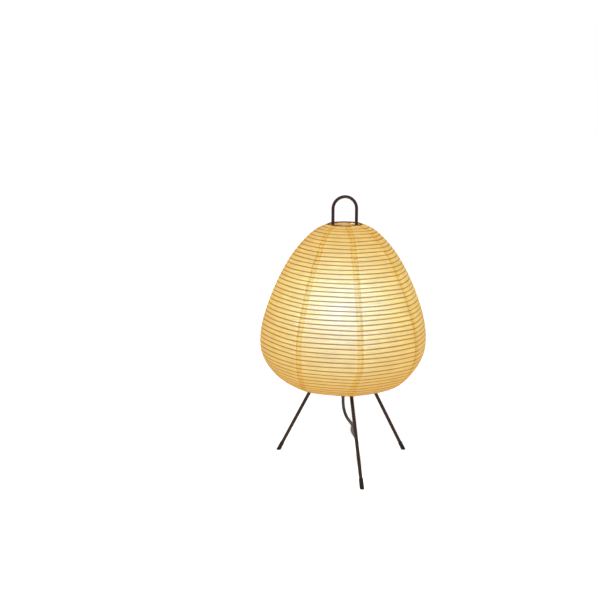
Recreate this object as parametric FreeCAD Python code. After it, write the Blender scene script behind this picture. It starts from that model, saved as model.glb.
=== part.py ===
import FreeCAD, Part
import os
from math import sin, cos, tan, pi, radians, degrees, sqrt

# A table lamp: a bulging paper shade with a spiral rib hangs on a bent wire frame
# with three legs and a carrying loop. Its lead hangs from the hub to the floor.
# The origin is on the floor under the lamp's axis, and +Z is up.
os.makedirs("parts", exist_ok=True)

Vector = FreeCAD.Vector
UP = Vector(0, 0, 1)
CENTRE = Vector(0, 0, 0)

# Clearances
seat_gap = 0.1
running_gap = 0.05
body_gap = 0.3
overrun = 5.0

# Paper shade
shade_radius = 130.0
shade_height = 251.5
bottom_ring_rise = 0.5
paper_thickness = 0.3
paste_gap = 0.02
gore_count = 8
seam_lap = 9.0
first_seam_azimuth = -90.0
top_ring_radius = 24.7
top_ring_wire = 2.2
top_ring_drop = 0.8
bottom_ring_radius = 52.0
bottom_ring_wire = 2.4
# Each pair is a height share of the shade and a radius share of its widest seam
outline_shares = (
    (0.0119, 0.5846), (0.0477, 0.7423), (0.1197, 0.8815), (0.2167, 0.9815),
    (0.3042, 1.0), (0.4262, 0.9654), (0.5511, 0.8869), (0.6986, 0.7600),
    (0.8155, 0.6262), (0.9149, 0.4646), (0.9702, 0.3346))

# Bamboo rib: one left-handed spiral in four lengths, joined end to end
rib_wire = 1.3
rib_pitch = 6.75
rib_gap = 0.15
rib_piece_count = 4
rib_top_margin = 5.5
rib_bottom_margin = 7.0
rib_mark_rise = 113.9
rib_mark_azimuth = -101.0

# Harp and carrying loop, one bent wire
handle_wire = 4.8
handle_half_width = 18.0
handle_rise = 44.7
ear_reach = 29.5
ear_bend = 4.0
ear_weld_reach = 24.5
harp_half_width = 44.0
harp_shoulder_drop = 28.9
harp_shoulder_bend = 20.0
harp_foot_bend = 8.0
harp_foot_reach = 16.5

# Legs
leg_wire = 5.4
leg_front_azimuth = -86.4
leg_right_azimuth = 19.7
leg_left_azimuth = 144.0
leg_arm_height = 126.0
leg_arm_start = 12.0
leg_corner = 47.7
leg_bend = 8.0
foot_radius = 115.5
leg_end_height = 2.4
tip_diameter = 6.6
tip_length = 12.0
tip_floor = 1.1

# Hub
plate_radius = 28.0
plate_thickness = 2.5
nipple_radius = 5.0
nipple_bore = 3.5
nipple_below_nut = 3.4
nipple_top_rise = 8.2
nut_width = 14.0
nut_height = 3.0
washer_radius = 8.0
washer_thickness = 0.8

# Lampholder
cap_hub_radius = 9.0
cap_radius = 17.8
cap_wall = 1.2
cap_hub_height = 6.0
cap_cone_height = 10.0
cap_rim_height = 4.0
holder_radius = 19.0
holder_wall = 0.8
holder_height = 31.0
holder_overlap = 3.6
liner_wall = 0.8
insert_depth = 3.4
insert_flange = 3.6
socket_bore = 13.45
socket_wall = 0.4
socket_height = 21.5
tongue_width = 6.0
tongue_thickness = 0.5
tongue_rise = 1.3
tongue_reach = 10.0
terminal_offset = 8.0
terminal_head_radius = 3.0
terminal_head_height = 2.0
terminal_shank_radius = 1.7
terminal_shank_length = 5.0
core_wire = 1.8
core_spacing = 2.4
core_bend = 1.2
core_rise = 3.2

# Strain relief
relief_spigot_length = 7.0
relief_collar_radius = 6.0
relief_collar_height = 2.0
relief_root_radius = 4.6
relief_end_radius = 3.3
relief_boot_length = 13.75

# Bulb
bulb_radius = 30.0
bulb_length = 108.0
bulb_neck_radius = 11.8
bulb_neck_top = 29.0
bulb_neck_bottom = 9.0
glass_wall = 0.8
tip_contact_radius = 4.8
tip_contact_face = 3.6
tip_contact_height = 1.2
insulator_radius = 11.6
insulator_height = 4.7
screw_radius = 13.0
screw_root_radius = 12.3
screw_inner_radius = 12.0
screw_height = 20.5
thread_pitch = 3.63
stem_foot_radius = 10.6
stem_foot_height = 1.5
stem_radius = 3.2
stem_height = 36.0
filament_wire = 0.8
filament_spread = 13.0
filament_rise = 34.0
filament_arch = 6.0
filament_bend = 2.0
filament_post = 2.0

# Lead: chosen points of its free stretches, each ends where the next thing starts
cord_diameter = 5.0
shorter_run_share = 0.45
lead_route = [
    (0, 0, 106), (0, 0, 97), (0.5, -3.0, 88.5), (1.6, -8.8, 81.8), (3.0, -16.9, 77.6),
    (4.6, -27.8, 75.8), (6.3, -41, 74.9), (8.3, -53.8, 69.6), (8.9, -62.8, 58.8),
    (10.1, -65.3, 44.5), (12.6, -61.5, 29.5), (15.7, -51.4, 17.5), (19.0, -37.8, 9.2),
    (22.3, -21.6, 4.2), (25.7, -1.9, 2.5), (29.8, 22.7, 2.5), (35.3, 54.2, 2.5),
    (41.1, 85.7, 2.5), (41.6, 110.1, 2.5), (41.4, 131.5, 2.5), (46.2, 154.0, 2.5),
    (55.0, 176.8, 2.5), (60.6, 204.2, 2.5), (64.8, 235.0, 2.5), (69.3, 262.5, 2.5),
    (73.4, 288.0, 2.5), (77.6, 312.0, 4.3), (81.0, 330.6, 6.5), (83.9, 345.3, 6.5)]
tail_route = [
    (94.8, 401.3, 6.5), (91.6, 413.9, 5.4), (83.3, 423.9, 4.3), (71.5, 429.4, 3.6),
    (60.5, 429.7, 3.5)]
plug_tail_route = [(31, 429.5, 9.0), (24, 429.5, 7.5), (15.5, 429.5, 7.5)]

# Put-away coil: two layers that spiral in and out again
coil_centre_x = 42.0
coil_centre_y = 394.0
coil_radius = 35.5
coil_turns_in = 2.75
coil_gap = 0.5
coil_start_azimuth = 90.0
tie_thickness = 0.8
tie_width = 6.0
tie_slack = 0.25
tie_corner = 1.8
tie_turn = 0.5

# In-line rocker switch
switch_length = 54.0
switch_width = 22.0
switch_height = 13.0
switch_azimuth = 79.0
switch_corner = 7.0
switch_edge = 1.8
switch_wall = 1.6
switch_end_wall = 6.6
cord_pocket = 5.0
rocker_half_length = 11.0
rocker_width = 13.0
rocker_end_rise = 5.4
rocker_middle_rise = 4.0
rocker_end_drop = 0.8
rocker_nose_drop = 3.0
rocker_nose_half = 3.0
rocker_tilt = 9.0
rocker_axis_height = 8.6
rocker_pin_radius = 1.2
rocker_side_gap = 0.35
rocker_lug_length = 4.0
rocker_lug_rise = 1.9
switch_screw_offset_x = 16.2
switch_screw_offset_y = 6.1
switch_screw_radius = 1.2
switch_boss_radius = 2.5
switch_screw_head_radius = 2.1
switch_screw_head_height = 1.0
switch_screw_depth = 10.0
contact_width = 4.0
contact_thickness = 0.6
contact_start = 4.5
contact_end = 12.5
spring_rise = 2.3

# Plug
plug_length = 22.0
plug_width = 24.0
plug_height = 15.0
plug_edge = 2.5
plug_relief_length = 8.0
plug_relief_radius = 4.2
plug_relief_root = 5.8
plug_azimuth = 180.0
blade_length = 17.5
blade_height = 6.3
blade_thickness = 1.5
blade_spacing = 12.7
blade_seat = 6.0
blade_hole_radius = 1.5
blade_hole_setback = 4.5

# Heights that follow from what stands on what
shade_bottom = leg_arm_height + bottom_ring_rise
shade_top = shade_bottom + shade_height
top_ring_height = shade_top - top_ring_drop
ear_height = top_ring_height - top_ring_wire / 2 - seat_gap - handle_wire / 2
handle_top = ear_height + handle_rise
harp_shoulder_height = ear_height - harp_shoulder_drop
rib_mark_height = shade_bottom + rib_mark_rise
plate_bottom = leg_arm_height + leg_wire / 2 + seat_gap
plate_top = plate_bottom + plate_thickness
nut_top = plate_bottom - seat_gap
nut_bottom = nut_top - nut_height
nipple_bottom = nut_bottom - nipple_below_nut
relief_collar_top = nipple_bottom - seat_gap
relief_collar_bottom = relief_collar_top - relief_collar_height
relief_bottom = relief_collar_bottom - relief_boot_length
harp_foot_height = plate_top + seat_gap + handle_wire / 2
washer_bottom = plate_top + seat_gap
cap_bottom = washer_bottom + washer_thickness + seat_gap
cap_cone_bottom = cap_bottom + cap_hub_height
cap_cone_top = cap_cone_bottom + cap_cone_height
cap_top = cap_cone_top + cap_rim_height
nipple_top = cap_bottom + nipple_top_rise
insert_seat = cap_top + seat_gap
insert_top = insert_seat + insert_flange
insert_bottom = insert_seat - insert_depth
bulb_bottom = insert_top + seat_gap + tongue_rise + running_gap
cord_radius = cord_diameter / 2
coil_centre = Vector(coil_centre_x, coil_centre_y, 0)
coil_pitch = cord_diameter + coil_gap
coil_low = tie_thickness + tie_slack + cord_radius


# Shapes
def polygon(points):
    """Closed face through points."""
    return Part.Face(Part.makePolygon(list(points) + [points[0]]))


def turned(points):
    """Solid of revolution about Z from (radius, height) points."""
    return polygon([Vector(r, 0, z) for r, z in points]).revolve(CENTRE, UP, 360)


def tube(outer, inner, bottom, top):
    """Straight tube about Z."""
    return turned([(inner, bottom), (outer, bottom), (outer, top), (inner, top)])


def block(x0, x1, y0, y1, z0, z1):
    """Box between two corners."""
    return Part.makeBox(x1 - x0, y1 - y0, z1 - z0, Vector(x0, y0, z0))


def rounded_path(points, bends):
    """Straight runs joined by tangent arcs, one bend radius per inner point."""
    edges = []
    start = points[0]
    for before, corner, after, bend in zip(points, points[1:], points[2:], bends):
        into = (corner - before).normalize()
        out = (after - corner).normalize()
        turn = into.getAngle(out)
        back = bend * tan(turn / 2)
        arc_start = corner - into * back
        arc_end = corner + out * back
        towards = (out - into).normalize()
        middle = corner + towards * (bend / cos(turn / 2) - bend)
        if (arc_start - start).Length > running_gap * seat_gap:
            edges.append(Part.LineSegment(start, arc_start).toShape())
        edges.append(Part.Arc(arc_start, middle, arc_end).toShape())
        start = arc_end
    if (points[-1] - start).Length > running_gap * seat_gap:
        edges.append(Part.LineSegment(start, points[-1]).toShape())
    return edges


def swept(edges, start, direction, radius):
    """Round bar of the given radius along a path of edges."""
    section = Part.Wire(Part.Circle(start, direction, radius).toShape())
    return Part.Wire(edges).makePipeShell([section], True, False)


def bent_wire(points, bends, radius):
    """Round wire with named bend radii."""
    edges = rounded_path(points, bends)
    return swept(edges, points[0], points[1] - points[0], radius)


def cord_tube(name, route):
    """Cord stretch with each arc as large as its two runs allow."""
    points = [Vector(*p) for p in route]
    bends = []
    for before, corner, after in zip(points, points[1:], points[2:]):
        into = corner - before
        out = after - corner
        shorter = min(into.Length, out.Length)
        bends.append(shorter_run_share * shorter / tan(into.getAngle(out) / 2))
    solid = bent_wire(points, bends, cord_radius)
    length = sum(e.Length for e in rounded_path(points, bends))
    section = pi * cord_radius ** 2
    print(name, "bend radii", [round(b, 1) for b in bends])
    print(name, "length", round(length, 1), "volume over section times length",
          round(solid.Volume / (section * length), 4))
    return solid


def biarc(p0, t0, p1, t1):
    """Two tangent arcs from p0 along t0 to p1 along t1."""
    v = p1 - p0
    a = 2 * (1 - t0.dot(t1))
    b = 2 * v.dot(t0 + t1)
    d = 2 * v.dot(v) / (b + sqrt(b * b + 4 * a * v.dot(v)))
    q0 = p0 + t0 * d
    q1 = p1 - t1 * d
    joint = (q0 + q1) / 2
    return [arc_by_corner(p0, q0, joint), arc_by_corner(joint, q1, p1)]


def arc_by_corner(start, corner, end):
    """Arc from start to end, tangent to both lines that meet at corner."""
    chord_middle = (start + end) / 2
    rise = corner - chord_middle
    half = (end - start).Length / 2
    slope = rise.Length / half
    sagitta = half * slope / (1 + sqrt(1 + slope * slope))
    return Part.Arc(start, chord_middle + rise.normalize() * sagitta, end).toShape()


def least_gap(points, diameter, apart):
    """Least surface gap between turns of a tube, from points along it."""
    best = None
    for i, p in enumerate(points):
        for q in points[i + apart:]:
            d = (p - q).Length
            if best is None or d < best:
                best = d
    return best - diameter


def direction(azimuth):
    """Level unit vector at an azimuth in degrees."""
    return Vector(cos(radians(azimuth)), sin(radians(azimuth)), 0)


# Shade outline and what follows it
def shade_curve(inset):
    """Outline of the shade from bottom to top, moved inwards by inset."""
    low = (bottom_ring_radius + bottom_ring_wire / 2 + body_gap, shade_bottom)
    high = (top_ring_radius + top_ring_wire / 2 + body_gap, shade_top)
    middle = [(r * shade_radius, shade_bottom + h * shade_height) for h, r in outline_shares]
    points = [Vector(r, 0, z) for r, z in [low] + middle + [high]]
    outer = Part.BSplineCurve()
    outer.interpolate(points)
    if not inset:
        return outer
    moved = []
    for p in points:
        along = outer.tangent(outer.parameter(p))[0]
        moved.append(p + Vector(-along.z, 0, along.x) * inset)
    inner = Part.BSplineCurve()
    inner.interpolate(moved)
    return inner


def paper_gore(number):
    """One of the eight pasted strips; every second one lies under its neighbours."""
    inset = (number % 2) * (paper_thickness + paste_gap)
    outer = shade_curve(inset).toShape()
    inner = shade_curve(inset + paper_thickness).toShape()
    ends = [Part.LineSegment(outer.Vertexes[i].Point, inner.Vertexes[i].Point).toShape()
            for i in (0, 1)]
    face = Part.Face(Part.Wire(Part.__sortEdges__([outer, ends[0], inner, ends[1]])))
    step = 360 / gore_count
    lap = degrees(seam_lap / shade_radius)
    face.rotate(CENTRE, UP, first_seam_azimuth + number * step - lap / 2)
    return face.revolve(CENTRE, UP, step + lap)


rib_inset = 2 * paper_thickness + paste_gap + rib_gap + rib_wire / 2
rib_curve = shade_curve(rib_inset)
rib_span = rib_curve.length() - rib_bottom_margin - rib_top_margin
rib_turns = int(rib_span / rib_pitch * rib_piece_count) / rib_piece_count
rib_arc_start = rib_bottom_margin


def height_on_rib(height):
    """Arc length along the rib's outline at which it reaches a height."""
    low = 0.0
    high = rib_curve.length()
    while high - low > running_gap:
        middle = (low + high) / 2
        if rib_curve.value(rib_curve.parameterAtDistance(middle, 0.0)).z < height:
            low = middle
        else:
            high = middle
    return low


rib_mark_arc = height_on_rib(rib_mark_height)


def rib_point(turn):
    """Point of the rib's centre line, counted in turns up from the bottom."""
    arc = rib_arc_start + rib_pitch * turn
    p = rib_curve.value(rib_curve.parameterAtDistance(arc, 0.0))
    azimuth = rib_mark_azimuth - 360 * (arc - rib_mark_arc) / rib_pitch
    return direction(azimuth) * p.x + UP * p.z


def rib_tangent(turn):
    """Direction of the rib's centre line."""
    step_share = 0.001
    return (rib_point(turn + step_share) - rib_point(turn - step_share)).normalize()


def bamboo_rib(number):
    """One length of the spiral on biarcs of a quarter turn."""
    steps = int(round(rib_turns / rib_piece_count * 4))
    first = number * rib_turns / rib_piece_count
    knots = [first + i * rib_turns / rib_piece_count / steps for i in range(steps + 1)]
    points = [rib_point(t) for t in knots]
    tangents = [rib_tangent(t) for t in knots]
    edges = []
    for i in range(steps):
        edges += biarc(points[i], tangents[i], points[i + 1], tangents[i + 1])
    return swept(edges, points[0], tangents[0], rib_wire / 2)


def ring(radius, wire, height):
    """Closed wire ring."""
    return Part.makeTorus(radius, wire / 2, UP * height)


# Frame
def harp_wire(side):
    """Wire from the hub up one side and in along the ear, where the loop is welded on."""
    route = [(harp_foot_reach, harp_foot_height), (harp_half_width, harp_foot_height),
             (harp_half_width, harp_shoulder_height), (ear_reach, ear_height),
             (ear_weld_reach + seat_gap, ear_height)]
    points = [Vector(side * x, 0, z) for x, z in route]
    return bent_wire(points, [harp_foot_bend, harp_shoulder_bend, ear_bend], handle_wire / 2)


def carrying_loop():
    """Wire that bends up out of both ears and over in a half circle."""
    half = [(ear_weld_reach, ear_height), (handle_half_width, ear_height),
            (handle_half_width, handle_top)]
    bends = [ear_bend, handle_half_width]
    points = [Vector(x, 0, z) for x, z in half]
    points += [Vector(-x, 0, z) for x, z in reversed(half)]
    return bent_wire(points, bends + bends[::-1], handle_wire / 2)


leg_slope = (foot_radius - leg_corner) / leg_arm_height
leg_down = Vector(leg_slope, 0, -1).normalize()
leg_end = Vector(foot_radius - leg_slope * leg_end_height, 0, leg_end_height)


def leg():
    """Leg in the XZ plane, from under the hub plate to its end in the tip."""
    points = [Vector(leg_arm_start, 0, leg_arm_height),
              Vector(leg_corner, 0, leg_arm_height), leg_end]
    return bent_wire(points, [leg_bend], leg_wire / 2)


def foot_tip():
    """Rubber tip over the leg's end, cut flat where it stands."""
    start = leg_end - leg_down * tip_length
    solid = Part.makeCylinder(tip_diameter / 2, tip_length + tip_diameter, start, leg_down)
    bore = Part.makeCylinder(leg_wire / 2 + running_gap, tip_length + running_gap,
                             start, leg_down)
    floor = block(0, 2 * foot_radius, -tip_diameter, tip_diameter, 0, leg_arm_height)
    return solid.cut(bore).common(floor)


def hub_plate():
    return tube(plate_radius, nipple_radius + running_gap, plate_bottom, plate_top)


def lock_nut():
    corner = nut_width / 2 / cos(radians(30))
    points = [direction(60 * i) * corner + UP * nut_bottom for i in range(6)]
    body = polygon(points).extrude(UP * nut_height)
    return body.cut(Part.makeCylinder(nipple_radius + running_gap, nut_height,
                                      UP * nut_bottom))


def nipple():
    return tube(nipple_radius, nipple_bore, nipple_bottom, nipple_top)


def washer():
    return tube(washer_radius, nipple_radius + running_gap, washer_bottom,
                washer_bottom + washer_thickness)


def strain_relief():
    spigot_top = relief_collar_top + relief_spigot_length
    bore = cord_radius + running_gap
    spigot = nipple_bore - seat_gap
    return turned([(bore, relief_bottom), (relief_end_radius, relief_bottom),
                   (relief_root_radius, relief_collar_bottom),
                   (relief_collar_radius, relief_collar_bottom),
                   (relief_collar_radius, relief_collar_top), (spigot, relief_collar_top),
                   (spigot, spigot_top), (bore, spigot_top)])


def inner_cable():
    """Sheathed lead inside the relief and the nipple."""
    return Part.makeCylinder(cord_radius, cable_top - relief_bottom, UP * relief_bottom)


cable_top = nipple_top - relief_collar_height


# Lampholder
def holder_cap():
    inner = cap_radius - cap_wall
    hub = cap_hub_radius - cap_wall
    bore = nipple_radius + running_gap
    return turned([(bore, cap_bottom), (cap_hub_radius, cap_bottom),
                   (cap_hub_radius, cap_cone_bottom), (cap_radius, cap_cone_top),
                   (cap_radius, cap_top), (inner, cap_top),
                   (inner, cap_cone_top + cap_wall / 2), (hub, cap_cone_bottom + cap_wall / 2),
                   (hub, cap_bottom + cap_wall), (bore, cap_bottom + cap_wall)])


def holder_shell():
    bottom = cap_top - holder_overlap
    return tube(holder_radius, holder_radius - holder_wall, bottom, bottom + holder_height)


liner_radius = holder_radius - holder_wall - 2 * seat_gap


def holder_liner():
    top = cap_top - holder_overlap + holder_height - 2 * liner_wall
    return tube(liner_radius, liner_radius - liner_wall, insert_seat, top)


def holder_insert():
    """Porcelain body with a flange on the cap's rim and two terminal holes."""
    spigot = cap_radius - cap_wall - body_gap
    flange = liner_radius - liner_wall - seat_gap
    body = turned([(0, insert_bottom), (spigot, insert_bottom), (spigot, insert_seat),
                   (flange, insert_seat), (flange, insert_top), (0, insert_top)])
    for side in (-1, 1):
        place = Vector(side * terminal_offset, 0, insert_bottom)
        body = body.cut(Part.makeCylinder(terminal_shank_radius + running_gap,
                                          terminal_shank_length + running_gap, place))
    return body


def holder_screw_shell():
    bottom = insert_top + seat_gap
    return tube(socket_bore + socket_wall, socket_bore, bottom, bottom + socket_height)


def centre_contact():
    """Sprung tongue that rises from the insert to the bulb's tip."""
    low = insert_top + seat_gap
    high = low + tongue_rise
    points = [(-tongue_reach, low), (-tongue_reach / 2, low), (0, high - tongue_thickness),
              (tongue_width / 2, high - tongue_thickness), (tongue_width / 2, high),
              (-tongue_thickness / 2, high), (-tongue_reach / 2, low + tongue_thickness),
              (-tongue_reach, low + tongue_thickness)]
    face = polygon([Vector(x, -tongue_width / 2, z) for x, z in points])
    return face.extrude(Vector(0, tongue_width, 0))


def terminal_screws():
    screws = []
    for side in (-1, 1):
        head = UP * (insert_bottom - seat_gap - terminal_head_height)
        place = head + Vector(side * terminal_offset, 0, 0)
        screw = Part.makeCylinder(terminal_head_radius, terminal_head_height, place)
        shank = Part.makeCylinder(terminal_shank_radius,
                                  terminal_head_height + seat_gap + terminal_shank_length,
                                  place)
        screws.append(screw.fuse(shank).removeSplitter())
    return Part.makeCompound(screws)


def supply_wires():
    """Two cores from the end of the sheath to the terminal screws."""
    wires = []
    for side in (-1, 1):
        near = side * core_spacing / 2
        far = side * terminal_offset
        over = cable_top + 2 * relief_collar_height
        head = insert_bottom - seat_gap - terminal_head_height - seat_gap
        points = [Vector(near, 0, cable_top + seat_gap), Vector(near, 0, over),
                  Vector(far, 0, head - core_rise), Vector(far, 0, head)]
        wires.append(bent_wire(points, [core_bend, core_bend], core_wire / 2))
    return Part.makeCompound(wires)


# Bulb
def bulb_tip_contact():
    return turned([(0, bulb_bottom), (tip_contact_face, bulb_bottom),
                   (tip_contact_radius, bulb_bottom + tip_contact_height),
                   (0, bulb_bottom + tip_contact_height)])


insulator_bottom = bulb_bottom + tip_contact_height + seat_gap
screw_bottom = insulator_bottom + insulator_height + seat_gap


def bulb_insulator():
    top = insulator_bottom + insulator_height
    return turned([(0, insulator_bottom), (tip_contact_radius, insulator_bottom),
                   (insulator_radius, top), (0, top)])


def bulb_screw_shell():
    """Screw cap with rounded ridges one thread pitch apart."""
    ridges = int(screw_height / thread_pitch)
    points = [Vector(screw_root_radius, 0, screw_bottom)]
    for i in range(2 * ridges):
        radius = screw_radius if i % 2 == 0 else screw_root_radius
        points.append(Vector(radius, 0, screw_bottom + (i + 1) * thread_pitch / 2))
    points.append(Vector(screw_root_radius, 0, screw_bottom + screw_height))
    wave = Part.BSplineCurve()
    wave.interpolate(points)
    inner = [points[-1], Vector(screw_inner_radius, 0, screw_bottom + screw_height),
             Vector(screw_inner_radius, 0, screw_bottom), points[0]]
    outline = Part.Wire([wave.toShape()] + Part.makePolygon(inner).Edges)
    return Part.Face(outline).revolve(CENTRE, UP, 360)


def bulb_outline(inset):
    """Half outline of the glass from its neck up to the top of the globe."""
    neck = bulb_neck_radius - inset
    globe = bulb_radius - inset
    centre = bulb_bottom + bulb_length - bulb_radius
    neck_top = bulb_bottom + bulb_neck_top
    rise = centre - neck_top
    low = Vector(neck, 0, bulb_bottom + bulb_neck_bottom)
    knee = Vector(neck, 0, neck_top)
    side = Vector(globe, 0, centre)
    flare = Part.BezierCurve()
    flare.setPoles([knee, Vector(neck, 0, neck_top + rise / 3),
                    Vector(globe, 0, centre - rise / 2), side])
    middle = Vector(globe * cos(pi / 4), 0, centre + globe * sin(pi / 4))
    crown = Vector(0, 0, centre + globe)
    return [Part.LineSegment(low, knee).toShape(), flare.toShape(),
            Part.Arc(side, middle, crown).toShape()]


def bulb_envelope():
    outer = bulb_outline(0)
    inner = bulb_outline(glass_wall)
    top = Part.LineSegment(outer[-1].Vertexes[-1].Point, inner[-1].Vertexes[-1].Point)
    bottom = Part.LineSegment(outer[0].Vertexes[0].Point, inner[0].Vertexes[0].Point)
    edges = outer + [top.toShape()] + inner + [bottom.toShape()]
    return Part.Face(Part.Wire(Part.__sortEdges__(edges))).revolve(CENTRE, UP, 360)


stem_bottom = bulb_bottom + bulb_neck_bottom
stem_top = stem_bottom + stem_height


def bulb_stem():
    foot = stem_bottom + stem_foot_height
    return turned([(0, stem_bottom), (stem_foot_radius, stem_bottom),
                   (stem_foot_radius, foot), (stem_radius, foot + stem_foot_radius),
                   (stem_radius, stem_top), (0, stem_top)])


def bulb_filament():
    base = stem_top + seat_gap
    points = [Vector(-filament_post, 0, base), Vector(-filament_spread, 0, base + filament_rise),
              Vector(0, 0, base + filament_rise + filament_arch),
              Vector(filament_spread, 0, base + filament_rise), Vector(filament_post, 0, base)]
    return bent_wire(points, [filament_bend] * 3, filament_wire / 2)


# Put-away coil
coil_turns = 2 * coil_turns_in + 0.5
coil_reversal = coil_turns_in + 0.25


def coil_radius_at(turn):
    inwards = min(turn, coil_reversal)
    outwards = max(turn - coil_reversal, 0)
    return coil_radius - coil_pitch * (inwards - outwards)


def coil_height_at(turn):
    """Two layers, with an even S climb in the half turn of the reversal."""
    climb = min(max((turn - coil_turns_in) * 2, 0), 1)
    lift = 2 * climb ** 2 if climb < 0.5 else 1 - 2 * (1 - climb) ** 2
    return coil_low + coil_pitch * lift


def coil_point(turn):
    azimuth = coil_start_azimuth + 360 * turn
    return coil_centre + direction(azimuth) * coil_radius_at(turn) + UP * coil_height_at(turn)


def coil_tangent(turn):
    """Direction at a quarter turn; level and round at both ends and the reversal."""
    azimuth = coil_start_azimuth + 360 * turn
    inward = 0
    if 0 < turn < coil_reversal:
        inward = -coil_pitch
    if coil_reversal < turn < coil_turns:
        inward = coil_pitch
    climb = 4 * coil_pitch if turn == coil_reversal else 0
    round_speed = 2 * pi * coil_radius_at(turn)
    along = direction(azimuth + 90) * round_speed + direction(azimuth) * inward + UP * climb
    return along.normalize()


coil_entry = coil_point(0) - coil_tangent(0) * cord_diameter
coil_exit = coil_point(coil_turns) + coil_tangent(coil_turns) * cord_diameter


def cord_coil():
    steps = int(round(coil_turns * 4))
    edges = [Part.LineSegment(coil_entry, coil_point(0)).toShape()]
    for i in range(steps):
        a = i / 4
        b = (i + 1) / 4
        edges += biarc(coil_point(a), coil_tangent(a), coil_point(b), coil_tangent(b))
    edges.append(Part.LineSegment(coil_point(coil_turns), coil_exit).toShape())
    solid = swept(edges, coil_entry, coil_tangent(0), cord_radius)
    length = sum(e.Length for e in edges)
    print("cord_coil length", round(length, 1), "volume over section times length",
          round(solid.Volume / (pi * cord_radius ** 2 * length), 4))
    return solid


def cord_tie():
    """Flat band round the whole bundle of turns, under it and over it."""
    inner = coil_radius_at(coil_turns_in - 0.25) - cord_radius - tie_slack
    outer = coil_radius_at(tie_turn) + cord_radius + tie_slack
    low = coil_low - cord_radius - tie_slack
    high = coil_low + coil_pitch + cord_radius + tie_slack
    hole = rounded_box(outer - inner, tie_width, high - low, tie_corner)
    band = rounded_box(outer - inner + 2 * tie_thickness, tie_width,
                       high - low + 2 * tie_thickness, tie_corner + tie_thickness)
    tie = band.cut(hole)
    azimuth = coil_start_azimuth + 360 * tie_turn
    tie.rotate(CENTRE, UP, azimuth)
    tie.translate(coil_centre + direction(azimuth) * ((inner + outer) / 2))
    tie.translate(UP * ((low + high) / 2))
    return tie


def rounded_box(length, width, height, corner):
    """Box about its middle with its four edges along Y rounded."""
    box = block(-length / 2, length / 2, -width / 2, width / 2, -height / 2, height / 2)
    edges = [e for e in box.Edges if abs(e.tangentAt(e.FirstParameter).y) > 0.5]
    return box.makeFillet(corner, edges)


# In-line switch, made along X about its own middle and then laid in its place
lead_end = Vector(*lead_route[-1])
switch_along = direction(switch_azimuth)
switch_centre = lead_end + switch_along * (switch_length / 2 - cord_pocket)
cord_height = switch_height / 2
switch_far_end = switch_centre + switch_along * (switch_length / 2 - cord_pocket)


def in_switch(shape):
    """Lays a switch piece in its place on the lead."""
    shape.rotate(CENTRE, UP, switch_azimuth)
    shape.translate(Vector(switch_centre.x, switch_centre.y, 0))
    return shape


def switch_blank():
    x = switch_length / 2
    y = switch_width / 2
    box = block(-x, x, -y, y, 0, switch_height)
    upright = [e for e in box.Edges if abs(e.tangentAt(e.FirstParameter).z) > 0.5]
    box = box.makeFillet(switch_corner, upright)
    level = [e for e in box.Edges if abs(e.BoundBox.ZLength) < switch_edge]
    return box.makeFillet(switch_edge, level)


def switch_shell(bottom, top):
    """Half of the casing between two heights, hollow, with cord pockets at its ends."""
    x = switch_length / 2
    y = switch_width / 2
    body = switch_blank()
    body = body.cut(block(switch_end_wall - x, x - switch_end_wall, switch_wall - y,
                          y - switch_wall, switch_wall, switch_height - switch_wall))
    for side in (-1, 1):
        start = Vector(side * x, 0, cord_height)
        body = body.cut(Part.makeCylinder(cord_radius + running_gap, cord_pocket, start,
                                          Vector(-side, 0, 0)))
    return body.common(block(-x, x, -y, y, bottom, top))


def switch_screw_places():
    return [Vector(side * switch_screw_offset_x, -side * switch_screw_offset_y, 0)
            for side in (-1, 1)]


def switch_lower_shell():
    top = cord_height - running_gap
    body = switch_shell(0, top)
    for place in switch_screw_places():
        boss = Part.makeCylinder(switch_boss_radius, top, place)
        hole = Part.makeCylinder(switch_screw_radius + seat_gap, switch_height, place)
        sink = Part.makeCylinder(switch_screw_head_radius + seat_gap,
                                 switch_screw_head_height + 2 * seat_gap, place)
        body = body.fuse(boss).cut(hole).cut(sink)
    lug_inner = rocker_width / 2 + rocker_side_gap
    lug_outer = switch_width / 2 - switch_wall + seat_gap
    lug_half = rocker_lug_length / 2
    lug_top = rocker_axis_height + rocker_lug_rise
    for side in (-1, 1):
        near, far = sorted((side * lug_inner, side * lug_outer))
        lug = block(-lug_half, lug_half, near, far, switch_wall - seat_gap, top)
        inside = switch_width / 2 - switch_wall - seat_gap
        near, far = sorted((side * lug_inner, side * inside))
        post = block(-lug_half, lug_half, near, far, switch_wall, lug_top)
        body = body.fuse(lug).fuse(post)
    return body.cut(pin_hole(rocker_pin_radius + running_gap)).removeSplitter()


def pin_hole(radius):
    start = Vector(0, -switch_width / 2 + switch_wall, rocker_axis_height)
    return Part.makeCylinder(radius, switch_width - 2 * switch_wall, start, Vector(0, 1, 0))


def switch_upper_shell():
    body = switch_shell(cord_height, switch_height)
    ceiling = switch_height - switch_wall
    for place in switch_screw_places():
        start = place + UP * cord_height
        boss = Part.makeCylinder(switch_boss_radius, ceiling - cord_height + seat_gap, start)
        hole = Part.makeCylinder(switch_screw_radius + running_gap,
                                 switch_screw_depth - cord_height + seat_gap, start)
        body = body.fuse(boss).cut(hole)
    swing = sqrt(rocker_half_length ** 2 + rocker_end_rise ** 2) + body_gap
    side = rocker_width / 2 + rocker_side_gap
    window = block(-swing, swing, -side, side, ceiling - seat_gap, switch_height)
    return body.cut(window).removeSplitter()


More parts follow.
